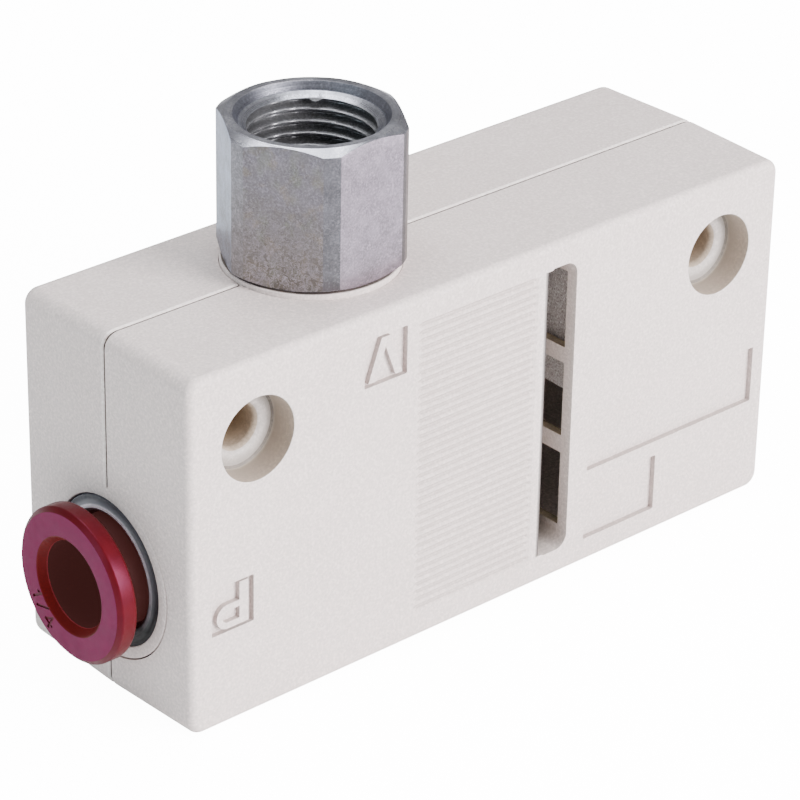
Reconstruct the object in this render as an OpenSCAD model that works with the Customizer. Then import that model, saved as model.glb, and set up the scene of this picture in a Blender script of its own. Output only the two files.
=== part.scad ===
// Box-type vacuum ejector with built-in exhaust silencer.
// X runs along the body with the supply fitting at -X, the marked front face
// looks to -Y and the threaded vacuum port points to +Z. Millimetres.
// The origin is at the centre of the bounding box's bottom.

/* [Casing] */
// length of the casing at the joint line
body_l = 57.8; // [50:0.1:70]
// height of the casing at the joint line
body_h = 28.8; // [25:0.1:35]
// depth of the front cover from the joint line to the marked face
front_d = 9.3; // [8:0.1:12]
// depth of the rear casing from the joint line to the mounting face
rear_d = 9.8; // [8:0.1:12]
// draft of the end faces for each millimetre of depth
draft_end = 0.0135; // [0:0.0005:0.05]
// draft of the top and bottom faces for each millimetre of depth
draft_top = 0.0205; // [0:0.0005:0.05]
// radius of the four long corners
corner_r = 1.0; // [0.3:0.1:2]
// bevel around the front and rear faces
edge_c = 0.5; // [0.2:0.05:1]
// bevel on each half along the joint line
seam_c = 0.22; // [0.05:0.01:0.5]

/* [Mounting holes] */
// distance between the two mounting holes
hole_pitch = 45.3; // [40:0.1:50]
// height of the holes above the middle of the casing
hole_z = 7.95; // [5:0.05:10]
// diameter of the through holes
hole_d = 3.3; // [3:0.1:4.5]
// diameter of the counterbores
cbore_d = 6.5; // [5:0.1:8]
// depth of the counterbores
cbore_h = 2.2; // [1:0.1:4]

/* [Supply fitting] */
// height of the fitting axis from the middle of the casing
ax_z = -4.53; // [-6:0.01:0]
// outer diameter of the release ring's rim
ring_d = 11.9; // [10:0.1:14]
// bore of the release ring for the supply tube
ring_bore = 6.62; // [6:0.01:7]
// diameter of the mouth of the release ring
mouth_d = 7.56; // [7:0.02:9]
// depth of the mouth's cone
mouth_l = 0.6; // [0.2:0.05:1]
// how far the release ring stands out of the end face
ring_out = 3.45; // [2:0.1:5]
// thickness of the release ring's rim
rim_t = 1.6; // [0.8:0.05:2]
// diameter of the release ring's neck
neck_d = 8.4; // [7.5:0.1:9]
// outer diameter of the metal guide
guide_d = 11.56; // [10:0.02:13]
// outer diameter of the fitting's seat
seat_d = 13.38; // [12:0.02:15]

/* [Vacuum port] */
// position of the port along the body
port_x = -10.1; // [-14:0.1:-6]
// top of the port above the middle of the casing
port_top = 25.8; // [22:0.1:30]
// width across the flats of the hexagon
hex_af = 12.7; // [12:0.1:14]
// turned diameter over the corners of the hexagon
hex_od = 14.0; // [13:0.1:16]
// turn of the hexagon about its axis in degrees
hex_turn = 1.5; // [-30:0.5:30]
// diameter of the turned flat on both ends of the hexagon
hex_flat = 12.5; // [11:0.1:12.7]
// minor diameter of the internal thread
thread_minor = 8.7; // [8:0.05:9]
// mouth diameter of the stepped countersink
thread_mouth = 11.3; // [10:0.1:11.6]
// depth of the threaded stretch
thread_l = 9.0; // [6:0.1:12]
// diameter of the plastic collar under the hexagon
collar_d = 13.2; // [12:0.1:15]
// height of the collar above the casing
collar_out = 0.3; // [0.1:0.05:1]

/* [Exhaust] */
// left side of the exhaust slot
slot_x0 = 4.6; // [3:0.1:6]
// right side of the exhaust slot
slot_x1 = 7.6; // [6:0.1:9]
// top of the exhaust slot
slot_z1 = 12.25; // [10:0.05:13]
// bottom of the exhaust slot
slot_z0 = -11.95; // [-13:0.05:-10]
// depth of the exhaust slot
slot_d = 5.1; // [3:0.1:6]
// height of each exhaust window
win_h = 6.2; // [4:0.1:7]

/* [Face details] */
// depth of the recessed label panels
panel_d = 0.45; // [0.2:0.05:0.8]
// distance between two grip ribs
rib_pitch = 0.65; // [0.4:0.01:1.2]
// depth of the grooves between the grip ribs
rib_d = 0.1; // [0.05:0.01:0.3]

/* [Hidden] */
$fn = 64;
hl = body_l / 2;
hh = body_h / 2;
end_x = -hl;
off = [ring_out / 2, (front_d - rear_d) / 2, hh];
cream = [0.87, 0.86, 0.84];
white = [0.92, 0.92, 0.90];
red = [0.55, 0.05, 0.10];
steel = [0.62, 0.62, 0.63];
nickel = [0.66, 0.64, 0.65];
brass_c = [0.78, 0.62, 0.33];
black = [0.07, 0.07, 0.07];
felt_c = [0.55, 0.54, 0.52];
e = 0.01;
seat_x1 = end_x + 13.0;
noz_x0 = seat_x1 + 0.1;
ch_x0 = end_x + 15.4;
ch_x1 = -6.0;
wins = [[4.6, 10.9], [-2.85, 3.3], [-10.5, -4.3]];

// places a sub-part in the frame and gives it its colour
module part(c) {
  translate(off) color(c) children();
}

// a cylinder or cone along X on the flow axis
module rx(x0, x1, r0, r1 = -1) {
  translate([x0, 0, ax_z]) rotate([0, 90, 0])
    cylinder(h = x1 - x0, r1 = r0, r2 = r1 < 0 ? r0 : r1);
}

// a ring along X on the flow axis
module ringx(x, big, small) {
  translate([x, 0, ax_z]) rotate([0, 90, 0])
    rotate_extrude() translate([big, 0]) circle(r = small, $fn = 32);
}

// a cylinder or cone along Z on the port axis
module pz(z0, z1, r0, r1 = -1) {
  translate([port_x, 0, z0]) cylinder(h = z1 - z0, r1 = r0, r2 = r1 < 0 ? r0 : r1);
}

// rounded outline of the casing seen from the front
module outline() {
  translate([-hl + corner_r, -hh]) square([body_l - 2 * corner_r, body_h]);
  translate([-hl, -hh + corner_r]) square([body_l, body_h - 2 * corner_r]);
  for (sx = [-1, 1], sz = [-1, 1])
    translate([sx * (hl - corner_r), sz * (hh - corner_r)]) circle(r = corner_r);
}

// half profile of one drafted side: a is half the extent, d the depth
module wedge(a, d, k) {
  b = a - k * d;
  polygon([[-a + seam_c, 0], [-a, seam_c], [-b, d - edge_c], [-b + edge_c, d],
    [b - edge_c, d], [b, d - edge_c], [a, seam_c], [a - seam_c, 0]]);
}

// drafted solid from y = 0 to y = d
module half_block(d) {
  intersection() {
    translate([0, 0, -hh - 1]) linear_extrude(height = body_h + 2) wedge(hl, d, draft_end);
    translate([-hl - 1, 0, 0]) rotate([90, 0, 90]) linear_extrude(height = body_l + 2)
      rotate(90) mirror([0, 1]) wedge(hh, d, draft_top);
    translate([0, d + 1, 0]) rotate([90, 0, 0]) linear_extrude(height = d + 2) outline();
  }
}

// everything that both halves leave open for the parts inside
module flow_space() {
  rx(end_x - 1, seat_x1 + 0.1, seat_d / 2 + 0.05);
  rx(seat_x1, ch_x0, 4.05);
  rx(ch_x0 - 0.1, ch_x1, 4.4);
  rx(ch_x1 - 0.1, -2.4, 3.65);
  rx(-2.5, 9.1, 3.08);
  pz(ax_z, 4.3, 2.5);
  pz(4.2, hh + 1, 5.1);
  pz(8.9, 11.1, 6.3);
  pz(12.2, hh + 1, collar_d / 2 + 0.05);
}

// silencer chamber with the column for the right mounting hole left standing
module chamber(y0, y1) {
  difference() {
    translate([8.3, y0, -12.5]) cube([18.3, y1 - y0, 24.7]);
    translate([hole_pitch / 2, y0 - 1, hole_z]) rotate([-90, 0, 0])
      cylinder(h = y1 - y0 + 2, d = 8.6);
  }
}

module mount_holes() {
  for (s = [-1, 1]) translate([s * hole_pitch / 2, 0, hole_z]) rotate([-90, 0, 0]) {
    translate([0, 0, -front_d - 1]) cylinder(h = front_d + rear_d + 2, d = hole_d);
    translate([0, 0, -front_d - 1]) cylinder(h = cbore_h + 1, d = cbore_d);
    translate([0, 0, -front_d + cbore_h - e]) cylinder(h = 0.4, d1 = hole_d + 0.8, d2 = hole_d);
  }
}

module rear_casing() {
  part(cream) difference() {
    half_block(rear_d);
    flow_space();
    chamber(-1, rear_d - 1.4);
    mount_holes();
  }
}

// one rectangular label recess
module recess(x0, x1, z0, z1) {
  translate([x0, -front_d - 1, z0]) cube([x1 - x0, 1 + panel_d, z1 - z0]);
}

// port letters, raised inside their recesses and read from above
module letter_v() {
  rotate(180) polygon([[-1.6, 1.65], [-0.95, 1.65], [0, -0.85], [0.95, 1.65],
    [1.6, 1.65], [0.4, -1.65], [-0.4, -1.65]]);
}
module letter_p() {
  rotate(180) {
    translate([-1.45, -1.7]) square([0.8, 3.4]);
    difference() {
      union() {
        translate([-0.7, -0.25]) square([1.125, 1.95]);
        translate([0.425, 0.725]) circle(r = 0.975);
      }
      translate([-0.65, 0.25]) square([1.075, 0.95]);
      translate([0.425, 0.725]) circle(r = 0.475);
    }
  }
}
module raised(x, z) {
  translate([x, -front_d + panel_d + e, z]) rotate([90, 0, 0]) linear_extrude(height = panel_d - 0.05)
    children();
}

module front_cover() {
  part(cream) {
    difference() {
      mirror([0, 1, 0]) half_block(front_d);
      flow_space();
      chamber(-front_d + 1.0, 1);
      mount_holes();
      // exhaust slot and its three side windows
      translate([slot_x0, -front_d - 1, slot_z0]) cube([slot_x1 - slot_x0, slot_d + 1, slot_z1 - slot_z0]);
      for (w = wins) translate([slot_x1 - 0.5, -front_d + 1.0, w[0]]) cube([2.5, slot_d - 1.2, w[1] - w[0]]);
      // label recesses
      recess(-13.0, -9.0, 8.5, 12.3);
      recess(-26.9, -23.1, -6.5, -2.7);
      recess(9.5, 27.2, -6.15, -1.45);
      recess(9.4, 16.9, -12.1, -7.4);
      // grooves of the grip panel
      for (i = [0 : floor(24.2 / rib_pitch) - 1])
        translate([-8.0, -front_d - 1, -11.9 + i * rib_pitch]) cube([slot_x0 - 0.7 + 8.0, 1 + rib_d, rib_pitch / 2]);
    }
    raised(-11.0, 10.4) letter_v();
    raised(-25.0, -4.6) letter_p();
  }
}

module release_ring() {
  x0 = end_x - ring_out;
  part(red) difference() {
    union() {
      rx(x0, x0 + 0.35, ring_d / 2 - 0.35, ring_d / 2);
      rx(x0 + 0.35 - e, x0 + rim_t - 0.2, ring_d / 2);
      rx(x0 + rim_t - 0.2 - e, x0 + rim_t, ring_d / 2, ring_d / 2 - 0.2);
      rx(x0 + rim_t - e, end_x + 3.9, neck_d / 2);
      rx(end_x + 3.9 - e, end_x + 4.4, neck_d / 2, neck_d / 2 - 0.45);
    }
    rx(x0 - 1, end_x + 5, ring_bore / 2);
    rx(x0 - e, x0 + mouth_l, mouth_d / 2, ring_bore / 2);
  }
}

module fitting_guide() {
  part(steel) difference() {
    union() {
      rx(end_x + 0.05, end_x + 0.35, guide_d / 2 - 0.3, guide_d / 2);
      rx(end_x + 0.35 - e, end_x + 5.2, guide_d / 2);
    }
    rx(end_x - 1, end_x + 6, neck_d / 2 + 0.05);
    rx(end_x + 0.05 - e, end_x + 0.6, neck_d / 2 + 0.6, neck_d / 2 + 0.05);
  }
}

// thin toothed ring that bites the tube
module chuck() {
  part(steel) difference() {
    rx(end_x + 5.7, end_x + 7.2, 5.2);
    rx(end_x + 5.0, end_x + 7.21, 5.4, 3.55);
    for (a = [0 : 45 : 315]) translate([end_x + 5, 0, ax_z]) rotate([a, 0, 0])
      translate([0, -0.2, 3]) cube([2.4, 0.4, 1.4]);
  }
}

module collet() {
  part(brass_c) difference() {
    rx(end_x + 7.3, end_x + 8.7, 5.2);
    rx(end_x + 7.2, end_x + 8.8, 3.45);
  }
}

module tube_seal() {
  part(black) difference() {
    rx(end_x + 8.8, end_x + 11.0, 5.2);
    rx(end_x + 8.7, end_x + 11.1, 3.35);
    difference() {
      rx(end_x + 8.7, end_x + 10.0, 4.6);
      rx(end_x + 8.6, end_x + 10.1, 3.9);
    }
  }
}

module fitting_seat() {
  part(white) difference() {
    rx(end_x + 0.02, seat_x1, seat_d / 2);
    rx(end_x - 1, end_x + 5.3, guide_d / 2 + 0.02);
    rx(end_x + 5.2, end_x + 11.1, 5.25);
    rx(end_x + 11.0, end_x + 12.0, 3.3);
    rx(end_x + 11.9, seat_x1 + 1, 2.0);
    difference() {
      rx(end_x + 11.4, end_x + 12.6, 7);
      rx(end_x + 11.3, end_x + 12.7, 5.7);
    }
  }
}

module seat_oring() {
  part(black) ringx(end_x + 12.0, 6.22, 0.5);
}

module nozzle() {
  part(brass_c) difference() {
    union() {
      rx(noz_x0, ch_x0 - 0.05, 4.0);
      rx(ch_x0 - 0.1, end_x + 18.4, 2.1);
      rx(end_x + 18.4 - e, end_x + 20.6, 2.1, 1.0);
    }
    rx(noz_x0 - e, noz_x0 + 2.6, 1.9, 0.6);
    rx(noz_x0, end_x + 21, 0.35);
    difference() {
      rx(noz_x0 + 0.55, noz_x0 + 1.75, 4.2);
      rx(noz_x0 + 0.5, noz_x0 + 1.8, 2.95);
    }
  }
}

module nozzle_oring() {
  part(black) ringx(noz_x0 + 1.15, 3.47, 0.5);
}

module diffuser() {
  part(white) difference() {
    union() {
      rx(-6.9, 8.95, 3.0);
      rx(-5.9, -2.6, 3.58);
    }
    rx(-6.9 - e, -4.0, 2.0, 0.6);
    rx(-4.1, 0, 0.6);
    rx(-0.1, 9, 0.6, 1.5);
    difference() {
      rx(-4.9, -3.6, 4);
      rx(-5.0, -3.5, 2.5);
    }
  }
}

module diffuser_oring() {
  part(black) ringx(-4.25, 3.04, 0.52);
}

module port_adapter() {
  z0 = hh + collar_out + 0.08;
  cone = tan(30);
  part(nickel) difference() {
    union() {
      intersection() {
        pz(z0, port_top, hex_od / 2);
        // the flats of the hexagon
        translate([port_x, 0, z0]) rotate(hex_turn + 30) linear_extrude(height = port_top - z0)
          intersection() {
            square([hex_af, 30], center = true);
            rotate(60) square([hex_af, 30], center = true);
            rotate(120) square([hex_af, 30], center = true);
          }
        // turned bevels of both ends
        pz(z0 - hex_flat / 2 * cone, port_top, 0, (port_top - z0) / cone + hex_flat / 2);
        pz(z0, port_top + hex_flat / 2 * cone, (port_top - z0) / cone + hex_flat / 2, 0);
      }
      pz(z0 - 3, z0 + e, 5.0);
      pz(4.4, z0 - 2.9, 5.0);
      pz(9.0, 11.0, 6.2);
    }
    pz(4, port_top + 1, 2.6);
    pz(port_top - thread_l - 1.2, port_top + 1, thread_minor / 2);
    pz(port_top - 0.54, port_top + e, thread_mouth / 2 - 0.38, thread_mouth / 2);
    pz(port_top - 0.98, port_top - 0.54 + e, thread_mouth / 2 - 1.05, thread_mouth / 2 - 0.4);
    pz(port_top - 1.4, port_top - 0.98 + e, thread_minor / 2, thread_mouth / 2 - 1.05);
    difference() {
      pz(5.7, 7.0, 6);
      pz(5.6, 7.1, 4.05);
    }
  }
}

module port_oring() {
  part(black) translate([port_x, 0, 6.35]) rotate_extrude() translate([4.57, 0]) circle(r = 0.5, $fn = 32);
}

module port_collar() {
  part(white) difference() {
    pz(12.25, hh + collar_out, collar_d / 2);
    pz(12, hh + 1, 5.06);
  }
}

module silencer_felt() {
  part(felt_c) translate([8.45, -front_d + 1.1, 0.3]) cube([9.6, front_d + rear_d - 2.6, 11.8]);
}

rear_casing();
front_cover();
release_ring();
fitting_guide();
chuck();
collet();
tube_seal();
fitting_seat();
seat_oring();
nozzle();
nozzle_oring();
diffuser();
diffuser_oring();
port_adapter();
port_oring();
port_collar();
silencer_felt();
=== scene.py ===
import bpy, bmesh, math, random
from mathutils import Vector, Matrix, noise


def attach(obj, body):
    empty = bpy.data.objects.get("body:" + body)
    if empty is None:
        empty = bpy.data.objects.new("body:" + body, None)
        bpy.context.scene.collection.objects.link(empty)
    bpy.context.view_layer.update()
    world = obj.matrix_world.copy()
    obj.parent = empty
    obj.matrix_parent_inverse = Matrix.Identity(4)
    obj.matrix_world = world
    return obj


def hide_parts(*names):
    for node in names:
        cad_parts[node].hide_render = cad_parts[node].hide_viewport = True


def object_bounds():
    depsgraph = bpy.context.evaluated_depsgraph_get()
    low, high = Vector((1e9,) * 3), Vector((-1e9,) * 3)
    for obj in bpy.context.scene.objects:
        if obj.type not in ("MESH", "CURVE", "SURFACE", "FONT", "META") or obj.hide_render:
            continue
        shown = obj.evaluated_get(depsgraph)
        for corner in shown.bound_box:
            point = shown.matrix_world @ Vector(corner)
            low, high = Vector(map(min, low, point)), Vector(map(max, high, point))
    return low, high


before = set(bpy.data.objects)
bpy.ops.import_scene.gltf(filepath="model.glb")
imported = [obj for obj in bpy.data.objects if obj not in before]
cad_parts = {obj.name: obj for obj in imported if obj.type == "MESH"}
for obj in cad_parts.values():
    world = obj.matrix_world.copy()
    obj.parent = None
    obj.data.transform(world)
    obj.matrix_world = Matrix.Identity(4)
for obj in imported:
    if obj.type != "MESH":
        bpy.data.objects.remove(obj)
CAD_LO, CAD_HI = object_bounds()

# ---------------------------------------------------------------- frame
# All shapes below are drawn in millimetres about the middle of the casing,
# with y = 0 on the joint of its halves, then moved into the CAD frame.
HL, HH, FD, RD = 28.9, 14.4, 9.3, 9.8
OFF = Vector((CAD_HI.x * 1000 - HL, CAD_HI.y * 1000 - RD, CAD_LO.z * 1000 + HH))
TO_FRAME = Matrix.Scale(0.001, 4) @ Matrix.Translation(OFF)
AXZ, PX = -4.53, -10.1
SLOT = (5.08, 7.6, -11.95, 12.25)
SX = 4.36                    # where the rolled left edge of the slot begins
WINS = ((4.6, 10.9), (-2.85, 3.3), (-10.5, -4.3))
scene = bpy.context.scene


# ---------------------------------------------------------------- mesh tools
def new_obj(name, verts, faces):
    me = bpy.data.meshes.new(name)
    me.from_pydata([tuple(v) for v in verts], [], faces)
    me.validate()
    ob = bpy.data.objects.new(name, me)
    scene.collection.objects.link(ob)
    bm = bmesh.new(); bm.from_mesh(me)
    bmesh.ops.recalc_face_normals(bm, faces=bm.faces)
    bm.to_mesh(me); bm.free()
    return ob


def loft(name, rings, caps=True):
    n = len(rings[0]); verts = [p for r in rings for p in r]; faces = []
    for i in range(len(rings) - 1):
        a, b = i * n, (i + 1) * n
        for j in range(n):
            k = (j + 1) % n
            faces.append((a + j, a + k, b + k, b + j))
    if caps:
        faces.append(tuple(range(n)))
        faces.append(tuple(range((len(rings) - 1) * n, len(rings) * n)))
    return new_obj(name, verts, faces)


def prism(name, pts, y0, y1):
    """closed outline in (x, z) extruded along y"""
    return loft(name, [[(x, y0, z) for x, z in pts], [(x, y1, z) for x, z in pts]])


def boxm(name, x0, x1, y0, y1, z0, z1):
    return prism(name, [(x0, z0), (x1, z0), (x1, z1), (x0, z1)], y0, y1)


def round_poly(pts, radii, k=6):
    out = []
    n = len(pts)
    for i, (p, r) in enumerate(zip(pts, radii)):
        p = Vector(p); a = Vector(pts[i - 1]); b = Vector(pts[(i + 1) % n])
        if r <= 0:
            out.append(tuple(p)); continue
        u, v = (a - p).normalized(), (b - p).normalized()
        ang = u.angle(v)
        d = r / math.tan(ang / 2)
        d = min(d, (a - p).length * 0.499, (b - p).length * 0.499)
        rr = d * math.tan(ang / 2)
        c = p + (u + v).normalized() * (rr / math.sin(ang / 2))
        s, e = p + u * d - c, p + v * d - c
        tot = s.angle(e)
        for j in range(k + 1):
            t = j / k
            w = (s * math.sin((1 - t) * tot) + e * math.sin(t * tot)) / math.sin(tot)
            out.append(tuple(c + w))
    return out


def revolve(name, prof, axis="X", n=96, origin=(0, 0, AXZ), close=True):
    """prof: closed loop of (along, radius)"""
    m = len(prof); verts = []; faces = []
    for i in range(n):
        a = 2 * math.pi * i / n; c, s = math.cos(a), math.sin(a)
        for t, r in prof:
            if axis == "X":
                verts.append((t + origin[0], r * c + origin[1], r * s + origin[2]))
            else:
                verts.append((r * c + origin[0], r * s + origin[1], t + origin[2]))
    for i in range(n):
        a, b = i * m, ((i + 1) % n) * m
        for j in range(m if close else m - 1):
            k = (j + 1) % m
            faces.append((a + j, b + j, b + k, a + k))
    return new_obj(name, verts, faces)


def solid_rev(name, prof, axis="X", n=96, origin=(0, 0, AXZ)):
    """open profile from axis to axis; the ends are capped"""
    rings = []
    for t, r in prof:
        ring = []
        for i in range(n):
            a = 2 * math.pi * i / n
            c, s = math.cos(a), math.sin(a)
            ring.append((t + origin[0], r * c + origin[1], r * s + origin[2]) if axis == "X" else
                        (r * c + origin[0], r * s + origin[1], t + origin[2]))
        rings.append(ring)
    return loft(name, rings)


def evaluated(ob):
    dg = bpy.context.evaluated_depsgraph_get()
    me = bpy.data.meshes.new_from_object(ob.evaluated_get(dg), depsgraph=dg)
    ob.modifiers.clear()
    old = ob.data; ob.data = me
    bpy.data.meshes.remove(old)


def cut(ob, tool, op="DIFFERENCE", keep=False):
    m = ob.modifiers.new("b", "BOOLEAN"); m.operation = op; m.solver = "EXACT"; m.object = tool
    evaluated(ob)
    if not keep:
        bpy.data.objects.remove(tool)


def bevel(ob, width, segs=2, angle=30, profile=0.5):
    m = ob.modifiers.new("bv", "BEVEL")
    m.width = width; m.segments = segs; m.limit_method = "ANGLE"
    m.angle_limit = math.radians(angle); m.miter_outer = "MITER_ARC"
    m.use_clamp_overlap = True; m.harden_normals = False
    m.profile = profile
    evaluated(ob)


def finish_mesh(ob, angle=32, weld=1e-4):
    bm = bmesh.new(); bm.from_mesh(ob.data)
    bmesh.ops.remove_doubles(bm, verts=bm.verts, dist=weld)
    bmesh.ops.dissolve_degenerate(bm, edges=bm.edges, dist=weld)
    for f in bm.faces:
        f.smooth = True
    lim = math.radians(angle)
    for e in bm.edges:
        e.smooth = not (len(e.link_faces) == 2 and e.calc_face_angle(0) > lim) and len(e.link_faces) == 2
    bm.to_mesh(ob.data); bm.free()


def place(ob, body, nodes, mat, weighted=True, angle=32):
    finish_mesh(ob, angle)
    ob.data.transform(TO_FRAME)
    ob.data.materials.clear(); ob.data.materials.append(mat)
    for p in ob.data.polygons:
        p.material_index = 0
    if weighted:
        w = ob.modifiers.new("wn", "WEIGHTED_NORMAL"); w.keep_sharp = True; w.weight = 80
    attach(ob, body)
    if nodes:
        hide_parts(*nodes)
    return ob


# ---------------------------------------------------------------- materials
def srgb(r, g, b):
    f = lambda c: (c / 255 / 12.92) if c / 255 <= 0.04045 else ((c / 255 + 0.055) / 1.055) ** 2.4
    return (f(r), f(g), f(b), 1)


class Mat:
    def __init__(self, name):
        self.m = bpy.data.materials.new(name); self.m.use_nodes = True
        self.t = self.m.node_tree; self.t.nodes.clear()
        self.out = self.t.nodes.new("ShaderNodeOutputMaterial")
        self.b = self.t.nodes.new("ShaderNodeBsdfPrincipled")
        self.t.links.new(self.b.outputs[0], self.out.inputs[0])
        self.co = self.t.nodes.new("ShaderNodeTexCoord").outputs["Object"]

    def node(self, kind, **kw):
        n = self.t.nodes.new(kind)
        for k, v in kw.items():
            setattr(n, k, v)
        return n

    def link(self, a, b):
        self.t.links.new(a, b)

    def noise(self, size_mm, detail=3.0, rough=0.5, stretch=(1, 1, 1), dist=0.0):
        mp = self.node("ShaderNodeMapping")
        mp.inputs["Scale"].default_value = [1000 / size_mm * s for s in stretch]
        self.link(self.co, mp.inputs[0])
        n = self.node("ShaderNodeTexNoise")
        n.inputs["Scale"].default_value = 1.0
        n.inputs["Detail"].default_value = detail
        n.inputs["Roughness"].default_value = rough
        n.inputs["Distortion"].default_value = dist
        self.link(mp.outputs[0], n.inputs["Vector"])
        return n.outputs[0]

    def ramp(self, fac, stops):
        r = self.node("ShaderNodeValToRGB")
        el = r.color_ramp.elements
        while len(el) < len(stops):
            el.new(0.5)
        for e, (p, c) in zip(el, stops):
            e.position = p; e.color = c
        self.link(fac, r.inputs[0])
        return r.outputs[0]

    def mix(self, fac, a, b, mode="MIX"):
        n = self.node("ShaderNodeMix", data_type="RGBA", blend_type=mode)
        for s, v in ((n.inputs[0], fac), (n.inputs[6], a), (n.inputs[7], b)):
            if hasattr(v, "links"):
                self.link(v, s)
            else:
                s.default_value = v
        return n.outputs[2]

    def maprange(self, v, a, b, c, d):
        n = self.node("ShaderNodeMapRange")
        n.inputs[1].default_value, n.inputs[2].default_value = a, b
        n.inputs[3].default_value, n.inputs[4].default_value = c, d
        self.link(v, n.inputs[0])
        return n.outputs[0]

    def bump(self, h, um, strength=1.0, prev=None):
        n = self.node("ShaderNodeBump")
        n.inputs["Distance"].default_value = um * 1e-6
        n.inputs["Strength"].default_value = strength
        self.link(h, n.inputs["Height"])
        if prev is not None:
            self.link(prev, n.inputs["Normal"])
        return n.outputs[0]

    def set(self, **kw):
        for k, v in kw.items():
            s = self.b.inputs[k.replace("_", " ")]
            if hasattr(v, "links"):
                self.link(v, s)
            else:
                s.default_value = v
        return self


def scaled(c, k):
    return tuple(min(1.0, x * k) for x in c[:3]) + (1,)


def plastic(name, col, dark, rough=0.5, grain_um=7, grain_mm=0.16, spec=0.42):
    m = Mat(name)
    tone = m.noise(9.0, 2, 0.5)
    speck = m.noise(0.5, 4, 0.65)
    c = m.mix(m.maprange(tone, 0.35, 0.65, 0, 1), col, dark)
    c = m.mix(m.maprange(speck, 0.62, 0.8, 0, 0.25), c, tuple(x * 0.8 for x in dark[:3]) + (1,))
    fine = m.noise(grain_mm, 3, 0.6)
    c = m.mix(m.maprange(m.noise(0.17, 2, 0.6), 0.30, 0.70, 0, 0.34), c, scaled(dark, 0.50))
    c = m.mix(m.maprange(m.noise(0.24, 2, 0.6), 0.46, 0.72, 0, 0.60), c, scaled(col, 1.30))
    wave = m.noise(5.0, 1, 0.5)
    b = m.bump(wave, 30, 0.6)
    b = m.bump(fine, grain_um, 1.0, b)
    m.set(Base_Color=c, Roughness=m.maprange(m.noise(1.5, 3), 0.3, 0.7, rough - 0.05, rough + 0.07),
          Normal=b, Specular_IOR_Level=spec)
    return m


casing = plastic("casing_resin", (0.715, 0.625, 0.600, 1), (0.690, 0.600, 0.575, 1))


def radial(m, axis):
    """distance from the port axis ("Z") or the flow axis ("X"), in metres"""
    mp = m.node("ShaderNodeVectorMath", operation="SUBTRACT")
    mp.inputs[1].default_value = ((PX + OFF.x) * 0.001 if axis == "Z" else 0, OFF.y * 0.001, (AXZ + OFF.z) * 0.001 if axis == "X" else 0)
    m.link(m.co, mp.inputs[0])
    ml = m.node("ShaderNodeVectorMath", operation="MULTIPLY")
    ml.inputs[1].default_value = (1, 1, 0) if axis == "Z" else (0, 1, 1)
    m.link(mp.outputs[0], ml.inputs[0])
    ln = m.node("ShaderNodeVectorMath", operation="LENGTH"); m.link(ml.outputs[0], ln.inputs[0])
    return ln.outputs["Value"]


def split(m):
    n = m.node("ShaderNodeSeparateXYZ"); m.link(m.co, n.inputs[0])
    return n.outputs


def painted_depth_shade(name, near, far, d0, d1):
    """the same resin inside the slot, darker and warmer with depth from the front face: painted shade"""
    m = plastic(name, near, scaled(near, 0.94))
    src = m.b.inputs["Base Color"].links[0].from_socket
    k = m.maprange(split(m)[1], (-FD + d0 + OFF.y) * 0.001, (-FD + d1 + OFF.y) * 0.001, 0, 1)
    m.set(Base_Color=m.mix(k, src, far))
    return m


# painted shadow in the slot: the resin darkens to near black with depth from the front face, most towards the bottom of
# the slot
casing_slot_shade = plastic("casing_resin_slot_painted_shadow", (0.70, 0.62, 0.58, 1), (0.66, 0.58, 0.545, 1))
sk = casing_slot_shade.node("ShaderNodeMath", operation="MULTIPLY")
casing_slot_shade.link(casing_slot_shade.maprange(split(casing_slot_shade)[1], (-FD + 0.2 + OFF.y) * 0.001, (-FD + 3.6 + OFF.y) * 0.001, 0, 1), sk.inputs[0])
casing_slot_shade.link(casing_slot_shade.maprange(split(casing_slot_shade)[2], (-10.8 + OFF.z) * 0.001, (-6.5 + OFF.z) * 0.001, 1.0, 0.40), sk.inputs[1])
sb = casing_slot_shade.b.inputs["Base Color"].links[0].from_socket
casing_slot_shade.set(Base_Color=casing_slot_shade.mix(sk.outputs[0], sb, (0.055, 0.047, 0.035, 1)))
# painted shade on the counterbore walls: a darker copy of the casing resin, darker with depth
hole_wall_shade = painted_depth_shade("casing_resin_wall_painted_shade", (0.47, 0.385, 0.315, 1), (0.335, 0.285, 0.235, 1), 0.1, 2.1)
# painted shade on the counterbore floor: a darker copy of the resin, darker still towards its corner, 2.1 to 3.0 mm
# from the hole's axis
hole_floor_shade = plastic("casing_resin_floor_painted_shade", (0.53, 0.48, 0.455, 1), (0.49, 0.445, 0.42, 1))
hr = hole_floor_shade.node("ShaderNodeMath", operation="SUBTRACT"); hr.inputs[1].default_value = OFF.x * 0.001
hole_floor_shade.link(split(hole_floor_shade)[0], hr.inputs[0])
ha = hole_floor_shade.node("ShaderNodeMath", operation="ABSOLUTE"); hole_floor_shade.link(hr.outputs[0], ha.inputs[0])
hs = hole_floor_shade.node("ShaderNodeMath", operation="SUBTRACT"); hs.inputs[1].default_value = 0.02265; hole_floor_shade.link(ha.outputs[0], hs.inputs[0])
hz = hole_floor_shade.node("ShaderNodeMath", operation="SUBTRACT"); hz.inputs[1].default_value = (7.95 + OFF.z) * 0.001; hole_floor_shade.link(split(hole_floor_shade)[2], hz.inputs[0])
hc = hole_floor_shade.node("ShaderNodeCombineXYZ"); hole_floor_shade.link(hs.outputs[0], hc.inputs[0]); hole_floor_shade.link(hz.outputs[0], hc.inputs[1])
hl = hole_floor_shade.node("ShaderNodeVectorMath", operation="LENGTH"); hole_floor_shade.link(hc.outputs[0], hl.inputs[0])
hb = hole_floor_shade.b.inputs["Base Color"].links[0].from_socket
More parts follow.
